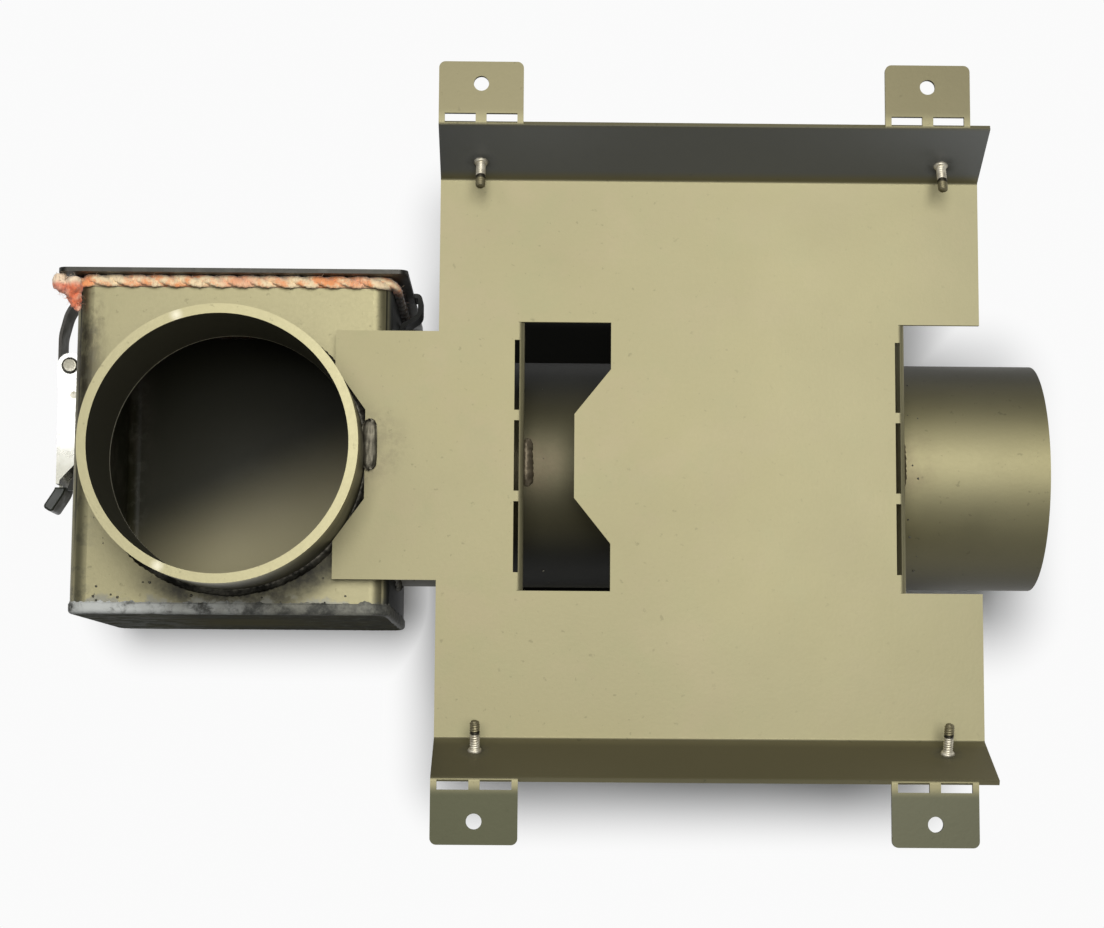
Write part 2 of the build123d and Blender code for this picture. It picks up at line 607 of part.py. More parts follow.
def build():
    """Every piece by its node name."""
    pieces = {
        "mounting_plate": mounting_plate(),
        "stove_collar": stove_collar(),
        "flue_box": flue_box(),
        "box_floor": box_floor(),
        "floor_weld": floor_weld(),
        "collar_weld": collar_weld(),
        "flue_pipe": flue_pipe(),
        "pipe_weld": pipe_weld(),
        "wing_weld": wing_weld(),
        "middle_saddle_weld": saddle_weld(SADDLE_FACE_X[0]),
        "end_saddle_weld": saddle_weld(SADDLE_FACE_X[1]),
        "lid_plate": lid_plate(),
        "rope_gasket": rope_gasket(),
        "lid_keeper": lid_keeper(),
        "keeper_rivet": keeper_rivet(),
        "latch_base": latch_base(),
        "base_rivets": base_rivets(),
        "pivot_pin": pivot_pin(),
        "latch_lever": latch_lever(),
        "finger_grip": finger_grip(),
        "claw_pin": claw_pin(),
        "latch_claw": latch_claw(),
    }
    stud_x = {"left": PLATE_LEFT_X + STUD_INSET, "right": PLATE_RIGHT_X - STUD_INSET}
    for end, x in stud_x.items():
        pieces[f"upper_{end}_stud"] = weld_stud(x, 1)
        pieces[f"lower_{end}_stud"] = weld_stud(x, -1)
    return pieces


def main():
    os.makedirs("parts", exist_ok=True)
    for name, shape in build().items():
        export_step(shape, f"parts/{name}.step")


if __name__ == "__main__":
    main()
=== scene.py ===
"""Dresses the vent adapter: weld beads, threaded studs, the twisted rope gasket, steel finishes and the studio."""
import math
import random

import bmesh
import bpy
from bpy.props import FloatProperty, FloatVectorProperty, IntProperty, PointerProperty
from bpy.types import Operator, Panel, PropertyGroup
from mathutils import Matrix, Vector, noise


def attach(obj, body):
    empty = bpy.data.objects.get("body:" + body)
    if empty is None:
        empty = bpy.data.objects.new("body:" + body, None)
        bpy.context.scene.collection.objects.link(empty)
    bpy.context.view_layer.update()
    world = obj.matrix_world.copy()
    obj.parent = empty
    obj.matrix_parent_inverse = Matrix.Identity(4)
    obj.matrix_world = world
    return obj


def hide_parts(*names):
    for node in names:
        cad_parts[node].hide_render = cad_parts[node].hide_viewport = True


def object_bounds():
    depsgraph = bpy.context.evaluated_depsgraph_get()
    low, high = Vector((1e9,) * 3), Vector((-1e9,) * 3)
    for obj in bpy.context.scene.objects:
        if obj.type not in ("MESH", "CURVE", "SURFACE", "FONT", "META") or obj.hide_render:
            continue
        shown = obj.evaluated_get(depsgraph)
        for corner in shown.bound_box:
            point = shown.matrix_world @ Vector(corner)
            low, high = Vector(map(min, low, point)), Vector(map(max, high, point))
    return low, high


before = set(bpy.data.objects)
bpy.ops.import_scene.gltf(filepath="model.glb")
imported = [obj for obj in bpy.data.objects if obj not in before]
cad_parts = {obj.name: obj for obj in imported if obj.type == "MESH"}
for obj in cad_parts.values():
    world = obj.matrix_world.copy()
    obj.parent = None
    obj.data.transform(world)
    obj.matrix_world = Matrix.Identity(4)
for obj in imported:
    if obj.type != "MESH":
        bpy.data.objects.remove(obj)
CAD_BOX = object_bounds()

bl_info = {
    "name": "Vent Adapter Dressing",
    "version": (1, 0, 0),
    "blender": (4, 5, 0),
    "location": "View3D > Sidebar > Vent Adapter",
    "description": "Welds, studs, rope gasket, steel finishes and studio for the vent adapter",
    "category": "Object",
}

MM = 0.001
PIPE_DEPTH = 56.26 * MM
BOX_HALF = 50.8 * MM
BOX_FRONT = BOX_HALF - PIPE_DEPTH
BOX_CORNER = 6.0 * MM
BOX_FLOOR = -48.8 * MM
COLLAR_R = 43.07 * MM
PIPE_R = 38.1 * MM
LID_UNDER = 58.2 * MM
ROPE_LINE = 49.8 * MM
ROPE_MIDDLE = 56.25 * MM
WING_BEAD_X = 44.7 * MM
WING_BEAD_UP = 3.0 * MM
FOLD_Y = 89.3 * MM
FLANGE_END_Y = 100.3 * MM
SADDLE_FACES = (93.5 * MM, 214.7 * MM)
SADDLE_FOLDS = (94.5 * MM, 215.5 * MM)
COLLAR_RIM_Z = 27.3 * MM
BEAD_STEP = 0.45 * MM
HAIR = 0.02 * MM
ROPE_CORNER = Vector((-53.0 * MM, 54.6 * MM, 52.6 * MM - PIPE_DEPTH))
CAMERA_PLACE = (0.0969, -0.0909, 0.7551)
CAMERA_TURN = (("X", 0.1163), ("Y", -0.0074), ("Z", 0.008))
# Floor rectangles as middle x, middle y and half sizes: where the shadow shows, and the patch under the window painted
# near black as deep shadow
FOOTPRINT = ((0.152, 0.0, 0.078, 0.100), (0.002, 0.002, 0.042, 0.042), (0.200, 0.0, 0.062, 0.040))
SHADOW_PATCH = (0.118, 0.0, 0.034, 0.060)
STUD_X = {"left": 79.2 * MM, "right": 225.6 * MM}
STUD_FOOT_Y = 92.93 * MM
STUD_FOOT_Z = 7.61 * MM
FLANGE_ANGLE = math.radians(63.6)


# Shader tools


class Wire:
    """An output socket that takes Python's arithmetic and adds Math nodes for it."""

    def __init__(self, finish, socket):
        self.finish = finish
        self.socket = socket

    def maths(self, operation, *values):
        return self.finish.add("ShaderNodeMath", {"operation": operation}, dict(enumerate(values)))

    def __add__(self, other):
        return self.maths("ADD", self, other)

    __radd__ = __add__

    def __sub__(self, other):
        return self.maths("SUBTRACT", self, other)

    def __rsub__(self, other):
        return self.maths("SUBTRACT", other, self)

    def __mul__(self, other):
        return self.maths("MULTIPLY", self, other)

    __rmul__ = __mul__

    def __abs__(self):
        return self.maths("ABSOLUTE", self)

    def least(self, other):
        return self.maths("MINIMUM", self, other)

    def most(self, other):
        return self.maths("MAXIMUM", self, other)


class Finish:
    """A material whose Principled shader is fed by wires."""

    def __init__(self, name, **constants):
        self.material = bpy.data.materials.new(name)
        self.material.use_nodes = True
        self.nodes = self.material.node_tree.nodes
        self.links = self.material.node_tree.links
        self.shader = self.nodes["Principled BSDF"]
        for socket, value in constants.items():
            self.shader.inputs[socket.replace("_", " ").title()].default_value = value
        self.place = self.add("ShaderNodeTexCoord", out="Object")

    def add(self, kind, settings=None, values=None, out=0):
        node = self.nodes.new(kind)
        for name, value in (settings or {}).items():
            setattr(node, name, value)
        for name, value in (values or {}).items():
            socket = node.inputs[name]
            if isinstance(value, Wire):
                self.links.new(value.socket, socket)
            elif socket.type == "RGBA":
                socket.default_value = (*value, 1.0)
            else:
                socket.default_value = value
        return Wire(self, node.outputs[out])

    def feed(self, name, wire):
        self.links.new(wire.socket, self.shader.inputs[name])

    def axis(self, letter):
        return self.add("ShaderNodeSeparateXYZ", {}, {0: self.place}, letter)

    def spots(self, scale, detail=4.0, roughness=0.55, stretch=(1, 1, 1), shift=(0, 0, 0)):
        place = self.add("ShaderNodeMapping", {}, {"Vector": self.place, "Scale": stretch, "Location": shift})
        sizes = {"Vector": place, "Scale": scale, "Detail": detail, "Roughness": roughness}
        return self.add("ShaderNodeTexNoise", {}, sizes)

    def ramp(self, wire, low, high, smooth=True):
        """0 below low and 1 above high."""
        kind = "SMOOTHSTEP" if smooth else "LINEAR"
        return self.add("ShaderNodeMapRange", {"interpolation_type": kind}, {0: wire, 1: low, 2: high})

    def blend(self, factor, first, second):
        """From the first colour at 0 to the second at 1."""
        return self.add("ShaderNodeMix", {"data_type": "RGBA"}, {0: factor, 6: first, 7: second}, 2)

    def distance(self, point):
        """How far each place is from a point, in metres."""
        return self.add("ShaderNodeVectorMath", {"operation": "DISTANCE"}, {0: self.place, 1: point}, "Value")

    def length(self, first, second):
        """The length of the flat vector that two wires make."""
        flat = self.add("ShaderNodeCombineXYZ", {}, {0: first, 1: second})
        return self.add("ShaderNodeVectorMath", {"operation": "LENGTH"}, {0: flat}, "Value")

    def relief(self, height, depth, strength):
        bump = self.add("ShaderNodeBump", {}, {"Height": height, "Distance": depth, "Strength": strength})
        self.feed("Normal", bump)


def steel(name, colour, roughness, metallic, mottle, grime_and_painted_light, gloss=0.15):
    """Mill-finish sheet or tube with fine grain, soft blotches and specks.

    The marks function passed in yields masks and their shades, real dirt and wear as well as painted light and shade,
    and says whether a mark is matte and so hides the metal.
    """
    tone = Vector(colour)
    finish = Finish(name, metallic=metallic)
    finish.shader.inputs["Specular IOR Level"].default_value = gloss
    blotch = finish.spots(22.0, 5.0, 0.6)
    grain = finish.spots(900.0, 3.0, 0.7)
    cloud = finish.spots(7.0, 2.0, 0.5, shift=(0.3, 0.1, 0))
    shades = tuple(tone * (1 - mottle)), tuple(tone * (1 + mottle))
    surface = finish.blend(finish.ramp(blotch, 0.3, 0.7), *shades)
    warm = (tone.x * 1.06, tone.y * 1.03, tone.z * 0.84)
    surface = finish.blend(finish.ramp(cloud, 0.42, 0.72) * 0.4, surface, warm)
    speck = finish.ramp(finish.spots(420.0, 2.0, 0.6, shift=(0.7, 0, 0)), 0.66, 0.74)
    surface = finish.blend(speck * 0.35, surface, tuple(tone * 0.45))
    bare = 1.0
    for mask, shade, matte in grime_and_painted_light(finish):
        surface = finish.blend(mask, surface, shade)
        if matte:
            bare = (1 - mask) * bare
    if isinstance(bare, Wire):
        finish.feed("Metallic", bare * metallic)
    finish.feed("Base Color", surface)
    uneven = finish.ramp(blotch + grain * 0.4, 0.4, 1.1, False)
    finish.feed("Roughness", uneven * mottle * 1.6 + (roughness - mottle * 0.8))
    finish.relief(grain + finish.spots(240.0, 2.0) * 0.6, 0.00004, 0.6)
    return finish.material


def ring_mask(finish, wire, radius, inner, outer):
    """1 on a ring of that radius, falling to 0 over the given widths inside and outside it."""
    inside = finish.ramp(wire, radius - inner, radius)
    outside = 1 - finish.ramp(wire, radius, radius + outer)
    return inside * outside


def plate_marks(finish):
    """Painted shade on the flanges, darker tones on the screw tabs, soft patches on the face, painted light towards its
    right, painted shadow round the studs, tint by weld and folds.
    """
    x, y = finish.axis("X"), finish.axis("Y")
    # Painted shade: the flanges get darker tones, bluish above and olive below, for faces tilted away from the light.
    for side, shade in ((y, (0.235, 0.245, 0.25)), (-1 * y, (0.195, 0.176, 0.103))):
        end = finish.ramp(side, FLANGE_END_Y, FLANGE_END_Y + 1.2 * MM)
        yield finish.ramp(side, FOLD_Y, FOLD_Y + 2.2 * MM) * (1 - end) * 0.9, shade, False
    face = 1 - finish.ramp(abs(y), FOLD_Y - 0.8 * MM, FOLD_Y)
    rosy = finish.ramp(finish.spots(38.0, 4.0, 0.6, shift=(0.6, 0.3, 0)), 0.46, 0.66)
    yield rosy * face * 0.5, (0.290, 0.252, 0.155), False
    green = finish.ramp(finish.spots(52.0, 5.0, 0.6, shift=(0.2, 0.9, 0)), 0.50, 0.68)
    yield green * face * 0.4, (0.262, 0.250, 0.142), False
    wing = 1 - finish.ramp(finish.distance((0.0445, 0.003, 0)), 0.007, 0.016)
    ragged = finish.ramp(finish.spots(260.0, 4.0, 0.7), 0.35, 0.65)
    yield wing * ragged * 0.3, (0.13, 0.11, 0.075), False
    # Painted light: the face grows brighter towards its right side.
    yield finish.ramp(x, 0.11, 0.20) * face * 0.6, (0.325, 0.298, 0.178), False
    lower_tabs = 1 - finish.ramp(y, -0.1065, -0.1025)
    yield lower_tabs * 0.85, (0.085, 0.088, 0.060), False
    yield lower_tabs * (1 - finish.ramp(x, 0.10, 0.11)) * 0.4, (0.045, 0.047, 0.020), False
    upper_tabs = finish.ramp(y, 0.1025, 0.1065)
    yield upper_tabs * finish.ramp(x, 0.18, 0.19) * 0.35, (0.11, 0.10, 0.06), False
    yield upper_tabs * 0.45, (0.15, 0.13, 0.075), False
    # Painted shadow: a matte, ragged dark ring round each stud's foot.
    for foot in stud_feet():
        stud_foot_shadow = (1 - finish.ramp(finish.distance(foot), 0.0022, 0.0062)) * (ragged * 0.5 + 0.5)
        yield stud_foot_shadow * 0.8, (0.040, 0.038, 0.026), True
    for fold_x in SADDLE_FOLDS:
        heat = 1 - finish.ramp(finish.distance((fold_x, 0, -0.018)), 0.006, 0.018)
        yield heat * 0.3, (0.22, 0.15, 0.095), False


def tube_marks(finish):
    """Painted light and shade inside the box, soot by the collar's weld with painted shadow below it and at its lower
    right, dross at the bottom edge, smudges at the left, and painted shade on the right wall.
    """
    x, y, z = (finish.axis(letter) for letter in "XYZ")
    radial = finish.length(x, y)
    ragged = finish.ramp(finish.spots(120.0, 5.0, 0.7), 0.32, 0.68)
    inside = finish.ramp(abs(x).most(abs(z + PIPE_DEPTH)), 0.0495, 0.0492) * finish.ramp(abs(x), 0.0502, 0.0499)
    # Matte brown scale inside the box, painted pale at the lower right as light and near black towards the upper left
    # as shade.
    yield inside * 0.95, (0.370, 0.330, 0.190), True
    yield inside * (1 - finish.ramp(x * 0.5 - y, -0.016, 0.026)) * 0.95, (0.010, 0.011, 0.005), True
    front = finish.ramp(z, -0.012, -0.007)
    near_collar = ring_mask(finish, radial, 0.0450, 0.002, 0.0100) * front
    below = 1 - finish.ramp(y + abs(x - 0.012) * 0.35, -0.036, -0.020)
    # Soot round the collar's weld, heavier below the collar as painted shadow.
    yield near_collar * (below * 0.9 + 0.06) * (ragged * 0.6 + 0.4), (0.028, 0.026, 0.022), True
    # Painted shadow on the box's front at the collar's lower right.
    yield near_collar * finish.ramp(x - y * 0.4, 0.020, 0.040) * (ragged * 0.5 + 0.5) * 0.85, (0.03, 0.028, 0.022), True
    low = 1 - finish.ramp(y + (ragged - 0.5) * 0.004, -0.0478, -0.0452)
    yield low * 0.75, (0.16, 0.16, 0.14), False
    streaks = finish.spots(85.0, 5.0, 0.7, stretch=(1, 0.5, 1), shift=(0.1, 0.4, 0))
    smudge = (1 - finish.ramp(x, -0.0475, -0.0370)) * finish.ramp(streaks, 0.40, 0.60)
    on_front = finish.ramp(x, -0.0510, -0.0500) * 0.65 + 0.35
    yield smudge * on_front * (1 - finish.ramp(abs(y - 0.026), 0.020, 0.034)) * 0.9, (0.058, 0.050, 0.034), False
    specks = finish.spots(170.0, 4.0, 0.7, shift=(0.9, 0.2, 0))
    grubby = (1 - finish.ramp(x, -0.0480, -0.0400)) * finish.ramp(specks, 0.48, 0.62)
    yield grubby * 0.45, (0.10, 0.095, 0.07), False
    # Painted shade: the box's right wall is near black.
    yield finish.ramp(x, 0.0485, 0.0506), (0.020, 0.021, 0.018), True


def floor_marks(finish):
    """Scale and dross on the floor plate beside its weld."""
    x, z = finish.axis("X"), finish.axis("Z")
    edge = finish.ramp(abs(x).most(abs(z + PIPE_DEPTH)), 0.004, 0.036)
    ragged = finish.ramp(finish.spots(110.0, 5.0, 0.7), 0.3, 0.62)
    yield edge * (ragged * 0.6 + 0.4) * 0.9, (0.115, 0.115, 0.095), False
    flakes = finish.ramp(finish.spots(260.0, 4.0, 0.7, shift=(0.3, 0, 0.8)), 0.50, 0.64)
    yield edge * flakes * 0.35, (0.30, 0.30, 0.26), False
    left = (1 - finish.ramp(x, -0.040, -0.005)) * finish.ramp(finish.spots(140.0, 4.0, 0.7), 0.4, 0.6)
    yield left * 0.5, (0.45, 0.46, 0.43), False


def pipe_marks(finish):
    """Painted shade with some soot inside the pipe, painted shadow on its top where the plate covers it by the window,
    painted shade towards its top and bottom, and heat tint beside the welds.
    """
    x, y, z = (finish.axis(letter) for letter in "XYZ")
    radial = finish.length(y, z + PIPE_DEPTH)
    # Painted shade, with some soot, inside the pipe.
    yield (1 - finish.ramp(radial, 0.0362, 0.0366)) * 0.8, (0.045, 0.041, 0.03), True
    ragged = finish.ramp(finish.spots(90.0, 4.0, 0.7), 0.3, 0.7)
    yield (1 - finish.ramp(x, 0.053, 0.066)) * ragged * 0.4, (0.13, 0.11, 0.075), False
    # Painted shadow on the pipe's top where the plate covers it by the window.
    upper = finish.ramp(z, -PIPE_DEPTH - 0.004, -PIPE_DEPTH + 0.012)
    plate_shadow = finish.ramp(x, 0.078, 0.092) * (1 - finish.ramp(x, 0.125, 0.15)) * upper
    yield plate_shadow * 0.9, (0.085, 0.078, 0.048), False
    # Painted shade: the pipe darkens towards its top and bottom, away from its lit middle band.
    yield finish.ramp(abs(y + 0.003), 0.014, 0.0375) * 0.9, (0.042, 0.042, 0.038), False
    # Painted shade: near black away from the pipe's middle band in that stretch.
    yield plate_shadow * finish.ramp(abs(y), 0.015, 0.032), (0.012, 0.012, 0.009), True
    for face_x in SADDLE_FACES:
        heat = 1 - finish.ramp(finish.distance((face_x + 0.002, 0, -0.018)), 0.005, 0.016)
        yield heat * ragged * 0.3, (0.16, 0.115, 0.08), False


def collar_marks(finish):
    """Painted shade, with some soot, on the collar's walls so that only its rim stays bright, a painted highlight on
    the edge of its inner end, and two painted highlights on the rim.
    """
    x, y, z = (finish.axis(letter) for letter in "XYZ")
    radial = finish.length(x, y)
    # Painted shade, with some soot, on the collar's inner wall.
    inner = (1 - finish.ramp(radial, 0.04016, 0.0404)) * (1 - finish.ramp(z, 0.0262, 0.0271))
    yield inner * 0.88, (0.055, 0.053, 0.038), True
    # Painted highlight on the edge of the collar's inner end.
    lip = (1 - finish.ramp(z, -0.0147, -0.0144)) * (1 - finish.ramp(radial, 0.0405, 0.0408))
    yield lip, (0.85, 0.8, 0.62), False
    ragged = finish.ramp(finish.spots(90.0, 4.0, 0.7), 0.3, 0.7)
    # Painted shade on the collar's outer wall near the box.
    outer = finish.ramp(radial, 0.0425, 0.0429)
    yield (1 - finish.ramp(z, 0.014, 0.026)) * (ragged * 0.3 + 0.7) * outer * 0.8, (0.035, 0.033, 0.026), True
    # Painted highlights: two bright glints on the rim.
    for glint_spot in ((-0.0134, 0.0394, COLLAR_RIM_Z), (-0.0173, -0.0379, COLLAR_RIM_Z)):
        yield (1 - finish.ramp(finish.distance(glint_spot), 0.0, 0.0028)) * 0.4, (0.60, 0.57, 0.48), False


def weld_finish(name, dark, light, left=None, metallic=0.85, gloss=0.15):
    """Scaled bead metal between two tones; left is a third tone for a bead that is brighter at the box's left."""
    finish = Finish(name, metallic=metallic)
    patches = finish.spots(150.0, 5.0, 0.7)
    fine = finish.spots(900.0, 3.0, 0.6)
    colour = finish.blend(finish.ramp(patches, 0.35, 0.68), dark, light)
    if left:
        towards = 1 - finish.ramp(finish.axis("X") + (finish.spots(60.0, 3.0, 0.6) - 0.5) * 0.08, -0.035, 0.015)
        colour = finish.blend(towards * finish.ramp(patches, 0.32, 0.55) * 0.9, colour, left)
    finish.feed("Base Color", colour)
    finish.feed("Roughness", finish.ramp(patches, 0.3, 0.7, False) * 0.25 + 0.35)
    finish.shader.inputs["Specular IOR Level"].default_value = gloss
    finish.relief(fine + patches * 2, 0.00012, 0.7)
    return finish.material


def tack_finish(name, dark, light):
    """The short welds, brighter and browner than the rings."""
    finish = Finish(name, metallic=0.8)
    patches = finish.spots(200.0, 5.0, 0.7)
    colour = finish.blend(finish.ramp(patches, 0.3, 0.7), dark, light)
    finish.feed("Base Color", colour)
    finish.feed("Roughness", finish.ramp(patches, 0.3, 0.7, False) * 0.2 + 0.4)
    finish.relief(patches + finish.spots(900.0) * 0.4, 0.0001, 0.7)
    return finish.material


def bright_finish(name, dull, clean, low=None):
    """Bright metal; low is a darker tone towards a lever's lower end."""
    finish = Finish(name, metallic=1.0)
    haze = finish.spots(160.0, 4.0, 0.6)
    colour = finish.blend(finish.ramp(haze, 0.35, 0.7), dull, clean)
    if low:
        low_end = 1 - finish.ramp(finish.axis("Y") + (haze - 0.5) * 0.01, -0.002, 0.017)
        colour = finish.blend(low_end * 0.9, colour, low)
    finish.feed("Base Color", colour)
    finish.feed("Roughness", finish.ramp(haze, 0.3, 0.7, False) * 0.14 + 0.22)
    finish.relief(finish.spots(700.0), 0.00002, 0.4)
    return finish.material


def nearest(distances):
    """The least of several wires."""
    least, *others = distances
    for other in others:
        least = least.least(other)
    return least


def stud_feet():
    """The four places where a stud stands on a flange."""
    return [(x, side * STUD_FOOT_Y, STUD_FOOT_Z) for x in STUD_X.values() for side in (1, -1)]


def stud_finish():
    """Pale thread with a dark band part way up and an olive tip, the tip darkened as painted shade."""
    finish = Finish("Stud steel", metallic=0.65)
    haze = finish.spots(300.0, 4.0, 0.6)
    along = nearest([finish.distance(foot) for foot in stud_feet()])
    colour = finish.blend(finish.ramp(haze, 0.35, 0.7), (0.56, 0.51, 0.39), (0.84, 0.79, 0.65))
    colour = finish.blend(finish.ramp(along, 0.0056, 0.0061), colour, (0.030, 0.026, 0.016))
    # Painted shade: the tip is olive and darker.
    colour = finish.blend(finish.ramp(along, 0.0068, 0.0074), colour, (0.24, 0.21, 0.12))
    finish.feed("Base Color", colour)
    finish.feed("Roughness", finish.ramp(haze, 0.3, 0.7, False) * 0.15 + 0.40)
    return finish.material


def dark_finish(name, colour, roughness=0.45):
    """Scaled or blackened steel with paler worn spots."""
    finish = Finish(name, metallic=0.7)
    worn = finish.spots(140.0, 5.0, 0.65)
    tone = Vector(colour)
    finish.feed("Base Color", finish.blend(finish.ramp(worn, 0.45, 0.75), tuple(tone), tuple(tone * 2.2)))
    finish.feed("Roughness", finish.ramp(worn, 0.3, 0.7, False) * 0.2 + (roughness - 0.1))
    finish.relief(worn + finish.spots(800.0) * 0.4, 0.00004, 0.5)
    return finish.material


def grip_finish():
    """Dark green-black dip, a little scuffed."""
    finish = Finish("Dipped vinyl", metallic=0.0)
    scuffs = finish.spots(260.0, 4.0, 0.65)
    scuffed = finish.ramp(scuffs, 0.5, 0.75)
    finish.feed("Base Color", finish.blend(scuffed, (0.020, 0.024, 0.016), (0.060, 0.068, 0.048)))
    finish.feed("Roughness", finish.ramp(scuffs, 0.3, 0.7, False) * 0.2 + 0.32)
    finish.relief(scuffs, 0.00006, 0.5)
    return finish.material


def rope_finish(name, cream, orange, pink, dark, clean=None):
    """Heat-proof rope: cream yarn stained orange and pink, dirty in its hollows, with painted shade away from the
    front.

    clean is a paler tone painted on the top of the yarn near the lid as a highlight.
    """
    finish = Finish(name, metallic=0.0, roughness=0.9, sheen_weight=0.35, sheen_roughness=0.5)
    stain = finish.spots(130.0, 4.0, 0.65)
    blush = finish.spots(75.0, 3.0, 0.6, shift=(0.2, 0.6, 0))
    yarn = finish.spots(1500.0, 2.0, 0.6, stretch=(1, 0.35, 0.5))
    colour = finish.blend(finish.ramp(stain, 0.43, 0.60), cream, orange)
    colour = finish.blend(finish.ramp(blush, 0.5, 0.68) * 0.8, colour, pink)
    # Painted highlight: the yarn's top turns paler.
    if clean:
        top = finish.ramp(finish.axis("Y") + (stain - 0.5) * 0.006, 0.0540, 0.0560)
        colour = finish.blend(top, colour, clean)
    # Painted shade: the rope darkens to near black away from its front.
    back_shade = 1 - finish.ramp(finish.axis("Z") + (stain - 0.5) * 0.006, -0.020, -0.013)
    colour = finish.blend(back_shade * 0.92, colour, (0.030, 0.024, 0.018))
    grubby = finish.ramp(finish.spots(420.0, 3.0, 0.7, shift=(0.5, 0, 0.3)), 0.60, 0.72)
    colour = finish.blend(grubby * 0.35, colour, dark)
    hollow = tuple(Vector(dark) * 2)
    finish.feed("Base Color", finish.blend(finish.ramp(yarn, 0.3, 0.5) * 0.25 + 0.75, hollow, colour))
    finish.relief(yarn, 0.0003, 0.9)
    return finish.material


def floor_paint(colour):
    """A floor that is white where seen or mirrored, keeps the part's shadow, is painted near black under the window as
    deep shadow, and is dull where it scatters light.
    """
    finish = Finish("Floor paint", roughness=0.9)
    finish.shader.inputs["Specular IOR Level"].default_value = 0.1
    x, y = finish.axis("X"), finish.axis("Y")
    gaps = []
    for middle_x, middle_y, half_x, half_y in (*FOOTPRINT, SHADOW_PATCH):
        beside = (abs(x - middle_x) - half_x).most(0.0)
        beyond = (abs(y - middle_y) - half_y).most(0.0)
        gaps.append(finish.length(beside, beyond))
    dark = gaps.pop()
    # Painted shadow: the floor's colour is near black under the window.
    finish.feed("Base Color", finish.blend(finish.ramp(dark, 0.0, 0.035), (0.014, 0.014, 0.012), colour))
    lit = finish.ramp(nearest(gaps), 0.0, 0.030)
    white = finish.add("ShaderNodeEmission", {}, {"Strength": 0.96}, "Emission")
    shown = finish.add("ShaderNodeMixShader", {}, {0: lit, 1: Wire(finish, finish.shader.outputs[0]), 2: white})
    dull = finish.add("ShaderNodeBsdfDiffuse", {}, {"Color": (0.30, 0.30, 0.30)})
    path = [finish.add("ShaderNodeLightPath", out=f"Is {kind} Ray") for kind in ("Camera", "Glossy", "Transmission")]
    direct = path[0].most(path[1]).most(path[2])
    floor = finish.add("ShaderNodeMixShader", {}, {0: direct, 1: dull, 2: shown})
    finish.links.new(floor.socket, finish.nodes["Material Output"].inputs["Surface"])
    return finish.material


# Shape tools


def new_piece(name, bm, material, body, nodes=()):
    """Makes a finished piece of a bmesh, hides the nodes it stands for and lets it ride its body."""
    bmesh.ops.recalc_face_normals(bm, faces=bm.faces)
    mesh = bpy.data.meshes.new(name)
    bm.to_mesh(mesh)
    bm.free()
    mesh.materials.append(material)
    mesh.shade_smooth()
    piece = bpy.data.objects.new(name, mesh)
    bpy.context.scene.collection.objects.link(piece)
    if nodes:
        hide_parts(*nodes)
    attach(piece, body)


def draw_out(bm, outline, length, steps):
    """Draws an outline out along X in equal steps."""
    bmesh.ops.spin(
        bm, geom=outline, cent=(0, 0, 0), axis=(1, 0, 0), dvec=(length / steps, 0, 0), angle=0.0, steps=steps,
        use_merge=False)


def half_round(bm, across, high, steps=7):
    """Half of a bead's outline in the YZ plane, from one foot over the crown to the other."""
    ring = bmesh.ops.create_circle(bm, segments=2 * steps, radius=1.0)["verts"]
    bmesh.ops.rotate(bm, verts=ring, cent=(0, 0, 0), matrix=Matrix.Rotation(math.pi / 2, 3, "Y"))
    low = [vert for vert in ring if vert.co.z < -0.01]
    bmesh.ops.delete(bm, geom=low, context="VERTS")
    rest = [vert for vert in ring if vert.is_valid]
    bmesh.ops.scale(bm, verts=rest, vec=(1, across, high))
    return bm.verts[:] + bm.edges[:]


def lumpy(place, seed, wave):
    """How full a hand-laid bead is at a place along it: overlapping ripples of uneven pitch."""
    drift = noise.noise(Vector((place * 90, seed, 0))) * 0.35 * wave
    phase = (place + drift * MM * 3) / wave % 1.0
    ripple = 0.86 + 0.20 * math.sqrt(1 - phase)
    swell = noise.noise(Vector((place * 120, seed, 4.0))) * 0.22
    return ripple + swell


def straight_bead(length, across, high, seed, wave=2.1 * MM):
    """A rippled bead along X with its foot on z = 0."""
    bm = bmesh.new()
    draw_out(bm, half_round(bm, across, high), length, int(length / BEAD_STEP))
    for vert in bm.verts:
        full = lumpy(vert.co.x + abs(vert.co.y) * 0.6, seed, wave)
        grit = 1 + 0.10 * noise.noise(vert.co * 900 + Vector((seed, 0, 0)))
        vert.co.y *= full * grit
        vert.co.z *= full * grit
    return bm


def wrap(bm, length, path):
    """Bends a straight bead along X onto a closed path that gives a place and two directions."""
    for vert in bm.verts:
        here, side, up = path(vert.co.x / length)
        vert.co = here + side * vert.co.y + up * vert.co.z
    bmesh.ops.remove_doubles(bm, verts=bm.verts, dist=HAIR)


def circle_path(centre, first, second, radius, lean):
    """A ring in the plane of two directions; lean tilts the bead's crown out of that plane."""
    normal = first.cross(second)

    def path(share):
        turn = share * math.tau
        outward = first * math.cos(turn) + second * math.sin(turn)
        up = outward * math.cos(lean) + normal * math.sin(lean)
        side = normal * math.cos(lean) - outward * math.sin(lean)
        return centre + outward * radius, side, up

    return path


